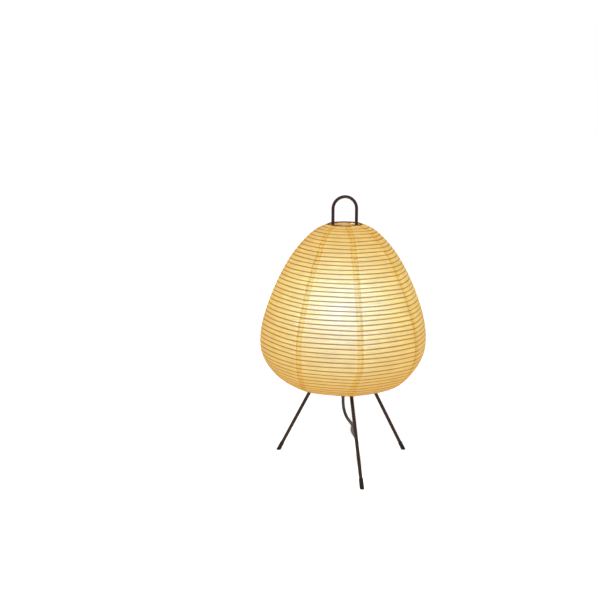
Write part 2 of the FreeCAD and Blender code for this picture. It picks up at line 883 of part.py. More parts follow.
def switch_rocker():
    """Rocker with a raised end each side, tipped to ON at rest."""
    x = rocker_half_length
    points = [(-x, rocker_end_rise), (0, rocker_middle_rise), (x, rocker_end_rise),
              (x, rocker_end_drop), (rocker_nose_half, -rocker_nose_drop),
              (-rocker_nose_half, -rocker_nose_drop), (-x, rocker_end_drop)]
    y = rocker_width / 2
    face = polygon([Vector(px, -y, rocker_axis_height + pz) for px, pz in points])
    body = face.extrude(Vector(0, rocker_width, 0))
    body = body.cut(pin_hole(rocker_pin_radius + running_gap))
    body.rotate(UP * rocker_axis_height, Vector(0, 1, 0), rocker_tilt)
    return body


def switch_pin():
    length = switch_width / 2 - switch_wall - seat_gap
    start = Vector(0, -length, rocker_axis_height)
    return Part.makeCylinder(rocker_pin_radius, 2 * length, start, Vector(0, 1, 0))


def switch_screws():
    screws = []
    for place in switch_screw_places():
        base = place + UP * seat_gap
        head = Part.makeCylinder(switch_screw_head_radius, switch_screw_head_height, base)
        shank = Part.makeCylinder(switch_screw_radius, switch_screw_depth - seat_gap, base)
        screws.append(head.fuse(shank).removeSplitter())
    return Part.makeCompound(screws)


def switch_contacts():
    """Two fixed strips on the floor of the casing."""
    strips = []
    y = contact_width / 2
    for side in (-1, 1):
        near, far = sorted((side * contact_start, side * contact_end))
        strips.append(block(near, far, -y, y, switch_wall + running_gap,
                            switch_wall + running_gap + contact_thickness))
    return Part.makeCompound(strips)


def switch_spring():
    """Leaf that the rocker's nose rolls on, standing on both fixed strips."""
    low = switch_wall + 2 * running_gap + contact_thickness
    high = rocker_axis_height - rocker_nose_drop - body_gap - spring_rise / 4
    outer = [(contact_start + contact_thickness, low), (contact_end, low),
             (contact_end, low + contact_thickness), (2 * contact_start, low + contact_thickness),
             (contact_start / 2, high), (-contact_start / 2, high),
             (-2 * contact_start, low + contact_thickness), (-contact_end, low + contact_thickness),
             (-contact_end, low), (-contact_start - contact_thickness, low),
             (-contact_start / 2, high - contact_thickness),
             (contact_start / 2, high - contact_thickness)]
    y = contact_width / 2
    face = polygon([Vector(px, -y, pz) for px, pz in outer])
    return face.extrude(Vector(0, contact_width, 0))


# Plug, made along X from the end of its relief and then laid in its place
plug_start = Vector(*plug_tail_route[-1]) - direction(plug_azimuth) * cord_pocket


def in_plug(shape):
    """Lays a plug piece in its place on the lead."""
    shape.rotate(CENTRE, UP, plug_azimuth)
    shape.translate(Vector(plug_start.x, plug_start.y, 0))
    return shape


def blade_boxes(margin):
    """The two blades' boxes, grown by a margin, from their seats to their ends."""
    start = plug_relief_length + plug_length - blade_seat
    end = plug_relief_length + plug_length + blade_length
    boxes = []
    for side in (-1, 1):
        y = side * blade_spacing / 2
        half = blade_thickness / 2 + margin
        boxes.append(block(start - margin, end, y - half, y + half,
                           plug_height / 2 - blade_height / 2 - margin,
                           plug_height / 2 + blade_height / 2 + margin))
    return boxes


def plug_body():
    y = plug_width / 2
    body = block(plug_relief_length, plug_relief_length + plug_length, -y, y, 0, plug_height)
    body = body.makeFillet(plug_edge, body.Edges)
    middle = UP * (plug_height / 2)
    relief = Part.makeCone(plug_relief_radius, plug_relief_root,
                           plug_relief_length + plug_edge, middle, Vector(1, 0, 0))
    body = body.fuse(relief).removeSplitter()
    body = body.cut(Part.makeCylinder(cord_radius + running_gap, cord_pocket, middle,
                                      Vector(1, 0, 0)))
    for box in blade_boxes(running_gap):
        body = body.cut(box)
    return body


def plug_blades():
    blades = []
    hole_x = plug_relief_length + plug_length + blade_length - blade_hole_setback
    for box in blade_boxes(0):
        start = Vector(hole_x, -plug_width, plug_height / 2)
        hole = Part.makeCylinder(blade_hole_radius, 2 * plug_width, start, Vector(0, 1, 0))
        blades.append(box.cut(hole))
    return Part.makeCompound(blades)


# All pieces by name
pieces = {
    "top_ring": ring(top_ring_radius, top_ring_wire, top_ring_height),
    "bottom_ring": ring(bottom_ring_radius, bottom_ring_wire, shade_bottom),
    "carrying_loop": carrying_loop(),
    "harp_wire_right": harp_wire(1),
    "harp_wire_left": harp_wire(-1),
    "hub_plate": hub_plate(),
    "hub_lock_nut": lock_nut(),
    "threaded_nipple": nipple(),
    "holder_washer": washer(),
    "strain_relief": strain_relief(),
    "inner_cable": inner_cable(),
    "supply_wires": supply_wires(),
    "holder_cap": holder_cap(),
    "holder_shell": holder_shell(),
    "holder_liner": holder_liner(),
    "holder_insert": holder_insert(),
    "holder_screw_shell": holder_screw_shell(),
    "holder_centre_contact": centre_contact(),
    "holder_terminal_screws": terminal_screws(),
    "bulb_tip_contact": bulb_tip_contact(),
    "bulb_insulator": bulb_insulator(),
    "bulb_screw_shell": bulb_screw_shell(),
    "bulb_envelope": bulb_envelope(),
    "bulb_stem": bulb_stem(),
    "bulb_filament": bulb_filament(),
    "cord_lead": cord_tube("cord_lead", lead_route),
    "cord_tail": cord_tube("cord_tail", [tuple(switch_far_end)] + tail_route
                           + [tuple(coil_entry)]),
    "cord_coil": cord_coil(),
    "cord_plug_tail": cord_tube("cord_plug_tail", [tuple(coil_exit)] + plug_tail_route),
    "cord_tie": cord_tie(),
    "switch_lower_shell": in_switch(switch_lower_shell()),
    "switch_upper_shell": in_switch(switch_upper_shell()),
    "switch_rocker": in_switch(switch_rocker()),
    "switch_pin": in_switch(switch_pin()),
    "switch_screws": in_switch(switch_screws()),
    "switch_contacts": in_switch(switch_contacts()),
    "switch_spring": in_switch(switch_spring()),
    "plug_body": in_plug(plug_body()),
    "plug_blades": in_plug(plug_blades()),
}
for name, azimuth in (("front", leg_front_azimuth), ("right", leg_right_azimuth),
                      ("left", leg_left_azimuth)):
    for piece, make in (("leg_", leg), ("foot_tip_", foot_tip)):
        shape = make()
        shape.rotate(CENTRE, UP, azimuth)
        pieces[piece + name] = shape
for gore in range(gore_count):
    pieces["paper_gore_" + str(gore + 1)] = paper_gore(gore)
for number in range(rib_piece_count):
    pieces["bamboo_rib_" + str(number + 1)] = bamboo_rib(number)

per_turn = 48
rib_samples = [rib_point(i / per_turn) for i in range(int(rib_turns * per_turn))]
neighbours = [least_gap([rib_samples[i], rib_samples[i + per_turn]], rib_wire, 1)
              for i in range(0, len(rib_samples) - per_turn)]
print("rib turns", rib_turns, "least gap", round(min(neighbours), 2))
coil_samples = [coil_point(i / per_turn) for i in range(int(coil_turns * per_turn) + 1)]
print("coil turns", coil_turns, "least gap",
      round(least_gap(coil_samples, cord_diameter, per_turn // 2), 2))

for name, shape in pieces.items():
    solids = len(shape.Solids)
    if not shape.isValid() or solids == 0:
        print("CHECK", name, "valid", shape.isValid(), "solids", solids)
    shape.exportStep("parts/" + name + ".step")
print("pieces", len(pieces))
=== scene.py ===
# %% [markdown]
# # A paper lamp on three wire legs
#
# A spiral of split bamboo is covered with eight strips of thin handmade paper, and the
# shade hangs on a wire frame with a carrying loop on top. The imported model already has
# every hard piece in its place. Here the paper, the bamboo and the lead get their real
# forms, every piece gets its finish, and a lamp is lit inside.

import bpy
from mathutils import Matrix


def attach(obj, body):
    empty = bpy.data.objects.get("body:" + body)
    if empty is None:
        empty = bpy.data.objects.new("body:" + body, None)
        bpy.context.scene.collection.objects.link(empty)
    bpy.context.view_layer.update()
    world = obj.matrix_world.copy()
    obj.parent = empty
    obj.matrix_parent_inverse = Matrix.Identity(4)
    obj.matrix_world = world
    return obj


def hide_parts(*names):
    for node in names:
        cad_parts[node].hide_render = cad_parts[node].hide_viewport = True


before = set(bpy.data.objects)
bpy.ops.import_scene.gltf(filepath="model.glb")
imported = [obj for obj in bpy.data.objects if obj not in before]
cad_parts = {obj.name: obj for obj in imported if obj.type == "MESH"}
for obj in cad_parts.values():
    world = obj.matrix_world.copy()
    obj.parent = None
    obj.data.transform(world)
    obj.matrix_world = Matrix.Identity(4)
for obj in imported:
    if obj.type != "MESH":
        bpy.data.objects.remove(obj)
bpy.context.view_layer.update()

# %% [markdown]
# Blender's own modules make the shapes, and numpy does sums on many points at once.

# %% Import the helpers
from math import cos, pi, radians, sin

import bpy
import numpy as np
from mathutils import Vector

print("Blender", bpy.app.version_string)

# %% [markdown]
# ## The camera
#
# The lamp is seen from a little above its top and slightly from the left, from about a
# metre and a half away. A long lens keeps the legs nearly parallel.

# %% Place the camera
bpy.ops.object.camera_add(location=(-0.2820, -1.4508, 0.5620),
                          rotation=(radians(78.45), 0, radians(-8.33)))
camera = bpy.context.object
camera.name = "camera"
camera.data.sensor_fit = "HORIZONTAL"
camera.data.sensor_width = 36
camera.data.lens = 59.24
bpy.context.scene.camera = camera
print("camera", tuple(round(v, 3) for v in camera.location))

# %% [markdown]
# ## The lead
#
# The lead is a satin round cable, five millimetres thick. It drops out of the hub, swings
# forward once under its own weight, turns back and runs away behind the lamp to a rocker
# switch. The rest of it is put away in a tied coil, with the plug beside it. It could be
# swept in edit mode, but a NURBS line of order three takes the points as a soft string
# would, so it has no corners, and it stays a line that can be laid anew.

# %% A soft line with a round section
def lay_cord(name, points, width):
    """A cord that follows its control points."""
    curve = bpy.data.curves.new(name, "CURVE")
    curve.dimensions = "3D"
    line = curve.splines.new("NURBS")
    line.points.add(len(points) - 1)
    for knot, place in zip(line.points, points):
        knot.co = (*place, 1)
        knot.radius = width / 2
    line.order_u = 3
    line.use_endpoint_u = True
    line.resolution_u = 6
    curve.bevel_depth = 1.0
    curve.bevel_resolution = 4
    curve.use_fill_caps = True
    cord = bpy.data.objects.new(name, curve)
    bpy.context.scene.collection.objects.link(cord)
    print(name, len(points), "points")
    return cord


# %% [markdown]
# The first stretch starts in the relief under the hub and ends in the switch.

# %% The stretch from the hub to the switch
cord_width = 0.005
lead_points = [
    (0, 0, 0.106), (0, 0, 0.097), (0.0005, -0.003, 0.0885), (0.0016, -0.0088, 0.0818),
    (0.003, -0.0169, 0.0776), (0.0046, -0.0278, 0.0758), (0.0063, -0.041, 0.0749),
    (0.0083, -0.0538, 0.0696), (0.0089, -0.0628, 0.0588), (0.0101, -0.0653, 0.0445),
    (0.0126, -0.0615, 0.0295), (0.0157, -0.0514, 0.0175), (0.019, -0.0378, 0.0092),
    (0.0223, -0.0216, 0.0042), (0.0257, -0.0019, 0.0025), (0.0298, 0.0227, 0.0025),
    (0.0353, 0.0542, 0.0025), (0.0411, 0.0857, 0.0025), (0.0416, 0.1101, 0.0025),
    (0.0414, 0.1315, 0.0025), (0.0462, 0.154, 0.0025), (0.055, 0.1768, 0.0025),
    (0.0606, 0.2042, 0.0025), (0.0648, 0.235, 0.0025), (0.0693, 0.2625, 0.0025),
    (0.0734, 0.288, 0.0025), (0.0776, 0.312, 0.0043), (0.081, 0.3306, 0.0065),
    (0.0839, 0.3453, 0.0065)]
lead = lay_cord("lead", lead_points, cord_width)

# %% [markdown]
# The second stretch leaves the switch, goes round the coil six times in two layers, and
# ends in the plug. The lower layer spirals in, the cord climbs onto it within half a turn,
# and the upper layer spirals out again. A NURBS line cuts corners, so it draws a slightly
# smaller ring than its points lie on, and the points are set out by that share.

# %% The coil's turns
coil_middle = (0.042, 0.394)
coil_reach = 0.0355
coil_pitch = 0.0055
coil_height = 0.00355
coil_turns = 6.0
turns_in = 2.75
climb_turns = 0.5
points_per_turn = 16
ring_share = 0.75 + 0.25 * cos(2 * pi / points_per_turn)
coil_points = []
for i in range(int(coil_turns * points_per_turn) + 1):
    turn = i / points_per_turn
    inwards = min(turn, turns_in + climb_turns / 2)
    outwards = max(turn - turns_in - climb_turns / 2, 0)
    climb = min(max((turn - turns_in) / climb_turns, 0), 1)
    lift = 2 * climb ** 2 if climb < 0.5 else 1 - 2 * (1 - climb) ** 2
    reach = (coil_reach - coil_pitch * (inwards - outwards)) / ring_share
    angle = pi / 2 + 2 * pi * turn
    coil_points.append((coil_middle[0] + reach * cos(angle),
                        coil_middle[1] + reach * sin(angle),
                        coil_height + coil_pitch * lift))
print("coil points", len(coil_points))

# %% [markdown]
# A short bend leads from the switch to the coil, and another from the coil to the plug.

# %% The stretch from the switch to the plug
tail_points = [(0.0923, 0.38849, 0.0065), (0.0948, 0.4013, 0.0065), (0.0916, 0.4139, 0.0054),
               (0.0833, 0.4239, 0.0043), (0.0715, 0.4294, 0.0036), (0.0605, 0.4297, 0.0035),
               (0.047, 0.4295, 0.00355)]
plug_points = [(0.037, 0.4295, 0.00905), (0.031, 0.4295, 0.009), (0.024, 0.4295, 0.0075),
               (0.0155, 0.4295, 0.0075)]
tail = lay_cord("lead_tail", tail_points + coil_points + plug_points, cord_width)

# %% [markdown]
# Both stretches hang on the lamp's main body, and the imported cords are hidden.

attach(lead, "root")
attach(tail, "root")
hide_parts("cord_lead")
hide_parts("cord_tail", "cord_coil", "cord_plug_tail")
print("declared", lead.name, "and", tail.name)

# %% [markdown]
# ## The outline of the shade
#
# The shade bulges low and closes to a narrow mouth. It could be drawn as a curve and spun,
# but then neither the dips of the paper nor its strips would be there. So thirteen points
# give half of the outline, and a spline through them gives the rest as plain numbers. The
# places along it are counted in metres of paper from the bottom edge, because the paper
# and the bamboo both follow it.

# %% A smooth line through the outline's points
outline_radius = np.array([0.0535, 0.0760, 0.0965, 0.1146, 0.1276, 0.1300, 0.1255, 0.1153,
                           0.0988, 0.0814, 0.0604, 0.0435, 0.0261])
outline_height = np.array([0.1265, 0.1295, 0.1385, 0.1566, 0.1810, 0.2030, 0.2337, 0.2651,
                           0.3022, 0.3316, 0.3566, 0.3705, 0.3780])


def run_along(radius, height):
    """Length of a line from its first point to each of its points."""
    return np.concatenate([[0], np.cumsum(np.hypot(np.diff(radius), np.diff(height)))])


knots = run_along(outline_radius, outline_height)
print("outline points", len(knots))

# %% [markdown]
# A cubic spline bends as evenly as a thin strip of wood held at the points. Its bends come
# from one set of equations, a row for each point.

# %% The spline
def through(values, at):
    """A spline with even bends through values at the knots."""
    count = len(knots)
    gap = np.diff(knots)
    sums = np.zeros((count, count))
    change = np.zeros(count)
    sums[0, 0] = sums[-1, -1] = 1
    for i in range(1, count - 1):
        sums[i, i - 1:i + 2] = gap[i - 1], 2 * (gap[i - 1] + gap[i]), gap[i]
        change[i] = 6 * ((values[i + 1] - values[i]) / gap[i]
                         - (values[i] - values[i - 1]) / gap[i - 1])
    bend = np.linalg.solve(sums, change)
    k = np.clip(np.searchsorted(knots, at) - 1, 0, count - 2)
    left, right, h = at - knots[k], knots[k + 1] - at, gap[k]
    return ((bend[k] * right ** 3 + bend[k + 1] * left ** 3) / (6 * h)
            + (values[k] / h - bend[k] * h / 6) * right
            + (values[k + 1] / h - bend[k + 1] * h / 6) * left)


# %% [markdown]
# The outline is then known at thousands of close points, with the direction that faces
# outwards at each. The middle of the bamboo lies a little inside the paper's outer face.

# %% Lengths along the outline
fine_count = 4001
fine = np.linspace(0, knots[-1], fine_count)
fine_radius = through(outline_radius, fine)
fine_height = through(outline_height, fine)
run = np.hypot(np.gradient(fine_radius), np.gradient(fine_height))
out_radius = np.gradient(fine_height) / run
out_height = -np.gradient(fine_radius) / run
paper_arc = run_along(fine_radius, fine_height)
rib_inset = 0.00142
rib_radius = fine_radius - out_radius * rib_inset
rib_height = fine_height - out_height * rib_inset
rib_arc = run_along(rib_radius, rib_height)
print("paper", round(paper_arc[-1], 4), "m from edge to edge, bamboo", round(rib_arc[-1], 4))

# %% [markdown]
# The shade was built on a mould of eight boards, one under each seam. So the bamboo is
# pulled a little straighter between the seams, and the plan is a rounded octagon.

# %% The plan of the shade
first_seam = radians(-90)
gore_turn = pi / 4
flat_share = 0.031


def plan_share(azimuth):
    """Share of the seam's radius that the shade keeps at an azimuth."""
    from_seam = np.abs((azimuth - first_seam + gore_turn / 2) % gore_turn - gore_turn / 2)
    straight = cos(gore_turn / 2) / np.cos(gore_turn / 2 - from_seam)
    return 1 - flat_share * (1 - straight) / (1 - cos(gore_turn / 2))


mid_gore = first_seam + gore_turn / 2
print("mid gore keeps", round(float(plan_share(np.array(mid_gore))), 4))

# %% [markdown]
# The strips were cut by hand, so two of the seams in front stray from their even places, by
# up to five degrees. Each stray is given in radians at a few places along the outline, and
# it fades to nothing at the next seams.

# %% The seams that stray
left_seam = radians(-135)
left_arcs = [0.045, 0.07, 0.1, 0.27, 0.32]
left_strays = [-0.05, 0.03, 0.068, 0.068, 0]
front_seam = radians(-90)
front_arcs = [0.045, 0.07, 0.1]
front_strays = [-0.08, -0.055, 0]


def seam_stray(arc, azimuth):
    """Angle by which the paper and the mould's edges lie off their even places."""
    def nearness(seam):
        return np.clip(1 - np.abs((azimuth - seam + pi) % (2 * pi) - pi) / gore_turn, 0, 1)

    left_stray = np.interp(arc, left_arcs, left_strays)
    front_stray = np.interp(arc, front_arcs, front_strays)
    return left_stray * nearness(left_seam) + front_stray * nearness(front_seam)


mid_arc = 0.15
print("left seam strays", round(float(seam_stray(mid_arc, left_seam)), 3), "rad at mid height")

# %% [markdown]
# The bamboo goes round once for every 6.75 mm of outline. It is hand laid, so it wanders
# by a few tenths of a millimetre, which three slow waves give. The same rule places the
# bamboo and tells the paper where the bamboo is under it, as a count of turns. One known
# place, the mark, ties the count to the shade.

# %% The path of the spiral
rib_pitch = 0.00675
rib_turns = 46.75
rib_first_arc = 0.007
rib_last_arc = rib_first_arc + rib_turns * rib_pitch
mark_azimuth = radians(-101)
mark_height = 0.2404
mark_arc = float(np.interp(mark_height, rib_height, rib_arc))


def wander(arc, azimuth):
    """How far the bamboo strays from its even spiral, in turns."""
    return (0.045 * np.sin(2 * azimuth + arc * 190) + 0.035 * np.sin(3 * azimuth - arc * 410 + 1)
            + 0.02 * np.sin(7 * azimuth + arc * 90))


def turns_at(arc, azimuth):
    """Count of turns at a place on the shade; the bamboo lies at whole numbers."""
    return ((arc - mark_arc) / rib_pitch + (azimuth - mark_azimuth) / (2 * pi)
            + wander(arc, azimuth))


print("spiral from", rib_first_arc, "to", round(rib_last_arc, 4))

# %% [markdown]
# ## The bamboo spiral
#
# It was laid in four lengths, joined end to end. A Screw modifier could turn a straight
# coil, but this one follows a bulging outline and wanders. So each length is a line of
# small steps with a round section of 1.3 mm, made a mesh.

# %% The path of one length of bamboo
bamboo_count = 4
rib_width = 0.0013
steps_per_turn = 96


def bamboo_path(number):
    """Points of one of the four lengths, counted from the bottom."""
    step_count = int(rib_turns / bamboo_count * steps_per_turn) + 1
    turn = np.linspace(number, number + 1, step_count) * rib_turns / bamboo_count
    arc = rib_first_arc + rib_pitch * turn
    azimuth = mark_azimuth - 2 * pi * (arc - mark_arc) / rib_pitch
    strayed = arc - rib_pitch * wander(arc, azimuth)
    radius = np.interp(strayed, rib_arc, fine_radius) * plan_share(
        azimuth - seam_stray(strayed, azimuth))
    radius = radius - np.interp(strayed, rib_arc, out_radius) * rib_inset
    height = np.interp(strayed, rib_arc, rib_height)
    return np.stack([radius * np.cos(azimuth), radius * np.sin(azimuth), height,
                     np.ones_like(radius)], 1)


print("steps in one length", len(bamboo_path(0)))

# %% [markdown]
# The points become a curve with a round bevel, and the curve becomes a mesh.

# %% Bend the four lengths of bamboo
def bend_bamboo(number):
    """One of the four lengths, in the place of its solid."""
    points = bamboo_path(number)
    curve = bpy.data.curves.new("bamboo", "CURVE")
    curve.dimensions = "3D"
    line = curve.splines.new("POLY")
    line.points.add(len(points) - 1)
    line.points.foreach_set("co", points.ravel())
    curve.bevel_depth = rib_width / 2
    curve.bevel_resolution = 1
    curve.use_fill_caps = True
    bamboo = bpy.data.objects.new(f"spiral_bamboo_{number + 1}", curve)
    bpy.context.scene.collection.objects.link(bamboo)
    bpy.ops.object.select_all(action="DESELECT")
    bamboo.select_set(True)
    bpy.context.view_layer.objects.active = bamboo
    bpy.ops.object.convert(target="MESH")
    bpy.ops.object.shade_smooth()
    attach(bamboo, "shade")
    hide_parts(f"bamboo_rib_{number + 1}")
    print(bamboo.name, len(bamboo.data.polygons), "faces")
    return bamboo


bamboo_lengths = [bend_bamboo(number) for number in range(bamboo_count)]

# %% [markdown]
# ## The paper
#
# Eight strips of paper run from the bottom ring to the top ring. Every second strip was
# pasted first, and the four others lap over their edges by 9 mm. One smooth shell with a
# printed pattern would look flat from the side, so each strip is its own mesh. It starts
# as a flat grid, as real paper does, and its points are then laid on the shade.

# %% How wide each strip reaches
paper_count = 8
lap_width = 0.009


def strip_span(number, across, arc):
    """Azimuth of points across a strip, and the strip's width there with its laps."""
    radius = np.interp(arc, paper_arc, fine_radius)
    lap = lap_width / 2 / radius
    start, end = first_seam + gore_turn * number, first_seam + gore_turn * (number + 1)
    start = start + seam_stray(arc, start) - lap
    end = end + seam_stray(arc, end) + lap
    return start + across * (end - start), radius * (end - start)


print("strips", paper_count, "lap", lap_width)

# %% [markdown]
# The paper dips a little between the turns, because it shrank as it dried. The dips fade
# out where the spiral ends. An odd strip lies inwards by its neighbours' thickness.

# %% Where the paper dips
paper_thickness = 0.0003
paste_gap = 0.00002
dip = 0.00035
dip_fade = 0.004


def beside_bamboo(under, fade, past=0):
    """1 along the spiral, fading to 0 before its ends, or past them where past is 1."""
    return (np.clip((under - rib_first_arc) / fade + past, 0, 1)
            * np.clip((rib_last_arc - under) / fade + past, 0, 1))


def strip_points(number, arc, azimuth):
    """Places of a strip's points on the shade."""
    radius = np.interp(arc, paper_arc, fine_radius)
    under = np.interp(arc, paper_arc, rib_arc)
    turns = turns_at(under, azimuth)
    inset = (number % 2) * (paper_thickness + paste_gap)
    inset = inset + dip * beside_bamboo(under, dip_fade) * (1 - (2 * (turns % 1) - 1) ** 2)
    reach = (radius * plan_share(azimuth - seam_stray(arc, azimuth))
             - np.interp(arc, paper_arc, out_radius) * inset)
    height = (np.interp(arc, paper_arc, fine_height)
              - np.interp(arc, paper_arc, out_height) * inset)
    return np.stack([reach * np.cos(azimuth), reach * np.sin(azimuth), height], 1)


print("dip", dip, "paper", paper_thickness)

# %% [markdown]
# Each point also keeps facts for the finish: the count of turns, whether the bamboo is
# there, how far the strip's edge is, whether a ring lies behind the paper and casts a
# painted shadow on it, and how near the bottom edge is, for a painted shade there. An odd
# strip has no lap of its own, so its edge counts as far.

# %% What the points keep
line_fade = 0.002
far_from_edge = 0.05
# How far the rings' painted shadows reach from the paper's edges, and how high the painted shade
# near the bottom reaches.
top_ring_reach = 0.0030
bottom_ring_reach = 0.0018
ring_fade = 0.001
bottom_reach = 0.10


def strip_facts(number, across, arc, azimuth, width):
    """Values for the finish, one for each point."""
    under = np.interp(arc, paper_arc, rib_arc)
    if number % 2 == 0:
        from_edge = np.minimum(across, 1 - across) * width
    else:
        from_edge = np.full_like(across, far_from_edge)
    return {
        "turns": turns_at(under, azimuth),
        "ribbed": beside_bamboo(under, line_fade, past=1),
        "from_edge": from_edge,
        "ring_shadow": (np.clip((top_ring_reach - paper_arc[-1] + arc) / ring_fade, 0, 1)
                        + np.clip((bottom_ring_reach - arc) / ring_fade, 0, 1)),
        "near_bottom": np.clip(1 - arc / bottom_reach, 0, 1)}


print("facts reach", bottom_reach, "m up from the bottom edge")

# %% [markdown]
# The grid is fine along the strip, where the dips are, and coarse across it.

# %% Lay one strip of paper on the shade
columns = 14
rows = 448


def lay_paper(number):
    """Strip from one seam to the next, under its neighbours if the number is odd."""
    bpy.ops.object.select_all(action="DESELECT")
    bpy.ops.mesh.primitive_grid_add(x_subdivisions=columns, y_subdivisions=rows, size=1)
    strip = bpy.context.object
    strip.name = strip.data.name = f"paper_strip_{number + 1}"
    flat = np.empty(len(strip.data.vertices) * 3)
    strip.data.vertices.foreach_get("co", flat)
    across = flat[0::3] + 0.5
    arc = (flat[1::3] + 0.5) * paper_arc[-1]
    azimuth, width = strip_span(number, across, arc)
    strip.data.vertices.foreach_set("co", strip_points(number, arc, azimuth).ravel())
    for fact, values in strip_facts(number, across, arc, azimuth, width).items():
        strip.data.attributes.new(fact, "FLOAT", "POINT").data.foreach_set(
            "value", values.astype(np.float32))
    strip.data.update()
    return strip


# %% [markdown]
# A Solidify modifier gives the strip its 0.3 mm, inwards, so that the outer face stays on
# the outline.

# %% Make the eight strips
paper_strips = []
for number in range(paper_count):
    strip = lay_paper(number)
    strip.modifiers.new("thickness", "SOLIDIFY").thickness = paper_thickness
    strip.modifiers["thickness"].offset = -1
    bpy.ops.object.modifier_apply(modifier="thickness")
    bpy.ops.object.shade_smooth_by_angle(angle=radians(50))
    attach(strip, "shade")
    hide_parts(f"paper_gore_{number + 1}")
    paper_strips.append(strip)
print("strips", len(paper_strips), "faces each", len(paper_strips[0].data.polygons))

# %% [markdown]
# ## Finishes
#
# Every finish starts in the same way: a new material, the Principled shader, and the
# place on the object as the source of all patterns. The nodes could be joined by hand in
# the shader editor. Short ways to add them keep each finish to a few lines.

# %% Start a finish
class Finish:
    """A material with short ways to add and join its nodes."""

    def __init__(self, name):
        self.material = bpy.data.materials.new(name)
        self.material.use_nodes = True
        self.nodes = self.material.node_tree.nodes
        self.links = self.material.node_tree.links
        self.surface = self.nodes["Principled BSDF"]
        self.output = self.nodes["Material Output"]
        self.place = self.nodes.new("ShaderNodeTexCoord").outputs["Object"]

    def join(self, source, target):
        """A link between two sockets."""
        self.links.new(source, target)

    def stretched(self, scale):
        """The place, scaled differently along each axis."""
        node = self.nodes.new("ShaderNodeMapping")
        node.inputs["Scale"].default_value = scale
        self.join(self.place, node.inputs["Vector"])
        return node.outputs["Vector"]

    def noise(self, scale, detail=4.0, roughness=0.5, vector=None, distortion=0.0):
        """Soft spots, with scale as their count in a metre."""
        node = self.nodes.new("ShaderNodeTexNoise")
        node.inputs["Scale"].default_value = scale
        node.inputs["Detail"].default_value = detail
        node.inputs["Roughness"].default_value = roughness
        node.inputs["Distortion"].default_value = distortion
        self.join(vector or self.place, node.inputs["Vector"])
        return node.outputs["Fac"]

    def spread(self, value, low, high, to_low, to_high):
        """Value from low..high to to_low..to_high, clamped."""
        node = self.nodes.new("ShaderNodeMapRange")
        for name, number in (("From Min", low), ("From Max", high),
                             ("To Min", to_low), ("To Max", to_high)):
            node.inputs[name].default_value = number
        self.join(value, node.inputs["Value"])
        return node.outputs["Result"]

    def reckon(self, operation, first, second=None):
        """One step of arithmetic on numbers or other nodes' values."""
        node = self.nodes.new("ShaderNodeMath")
        node.operation = operation
        for socket, value in zip(node.inputs, (first, second)):
            if value is None:
                continue
            if isinstance(value, (int, float)):
                socket.default_value = value
            else:
                self.join(value, socket)
        return node.outputs[0]

    def blend(self, share, low, high, kind="MIX"):
        """Colour between low and high, which are colours or other nodes' colours."""
        node = self.nodes.new("ShaderNodeMix")
        node.data_type = "RGBA"
        node.blend_type = kind
        for name, value in (("Factor", share), ("A", low), ("B", high)):
            socket = next(s for s in node.inputs if s.enabled and s.name == name)
            if isinstance(value, (int, float)):
                socket.default_value = value
            elif isinstance(value, tuple):
                socket.default_value = (*value, 1)
            else:
                self.join(value, socket)
        return next(s for s in node.outputs if s.enabled)

    def relief(self, height, depth, strength=1.0):
        """Small bumps on the surface, depth metres deep."""
        node = self.nodes.new("ShaderNodeBump")
        node.inputs["Distance"].default_value = depth
        node.inputs["Strength"].default_value = strength
        self.join(height, node.inputs["Height"])
        self.join(node.outputs["Normal"], self.surface.inputs["Normal"])

    def mix(self, share, first, second):
        """A shader that is first where share is 0 and second where it is 1."""
        node = self.nodes.new("ShaderNodeMixShader")
        if isinstance(share, (int, float)):
            node.inputs["Fac"].default_value = share
        else:
            self.join(share, node.inputs["Fac"])
        self.join(first.outputs[0], node.inputs[1])
        self.join(second.outputs[0], node.inputs[2])
        return node

    def add(self, first, second):
        """A shader that gives the light of both."""
        node = self.nodes.new("ShaderNodeAddShader")
        self.join(first.outputs[0], node.inputs[0])
        self.join(second.outputs[0], node.inputs[1])
        return node

    def show(self, shader):
        """The shader that the surface shows."""
        self.join(shader.outputs[0], self.output.inputs["Surface"])


print("ready to mix finishes")

# %% [markdown]
# Most hard pieces are one substance with a fine grain. This helper mottles its colour,
# varies its gloss and raises a shallow relief.

# %% A grained finish
def grained(name, dark, light, grain, gloss, relief=0.00002, metal=0.0, along=(1, 1, 1),
            coat=0.0, shine=0.5):
    """dark and light are colours, grain is in spots per metre, gloss is low and high roughness."""
    finish = Finish(name)
    vector = finish.stretched(along)
    broad = finish.noise(grain / 6, 5, 0.55, vector)
    fine_grain = finish.noise(grain, 4, 0.6, vector)
    finish.join(finish.blend(finish.spread(broad, 0.35, 0.65, 0, 1), dark, light),
                finish.surface.inputs["Base Color"])
    finish.join(finish.spread(fine_grain, 0.3, 0.7, *gloss), finish.surface.inputs["Roughness"])
    finish.surface.inputs["Metallic"].default_value = metal
    finish.surface.inputs["Coat Weight"].default_value = coat
    finish.surface.inputs["Specular IOR Level"].default_value = shine
    finish.relief(fine_grain, relief)
    return finish


# %% [markdown]
# ## Painted wire
#
# The frame is steel wire with a thin brown-black satin paint. The paint has a slight orange
# peel, and it is a touch warmer where it is thin.

# %% Paint for the wire and the hub
frame_paint = grained("frame_paint", (0.018, 0.006, 0.004), (0.034, 0.012, 0.008), 900,
                      (0.36, 0.52), 0.000012, shine=0.22)
plate_paint = grained("plate_paint", (0.020, 0.009, 0.006), (0.036, 0.016, 0.011), 600,
                      (0.38, 0.55), 0.00004, shine=0.25)
ring_paint = grained("ring_paint", (0.030, 0.015, 0.008), (0.055, 0.030, 0.017), 900,
                     (0.42, 0.6), 0.00003, shine=0.25)
print("paints", frame_paint.material.name, plate_paint.material.name, ring_paint.material.name)

# %% [markdown]
# ## Rubber and plastic
#
# The feet are dull black rubber. The lead has a satin sheath with a very fine drag along
# it. The switch and the plug are moulded with a fine spark grain, and the rocker is glossy.

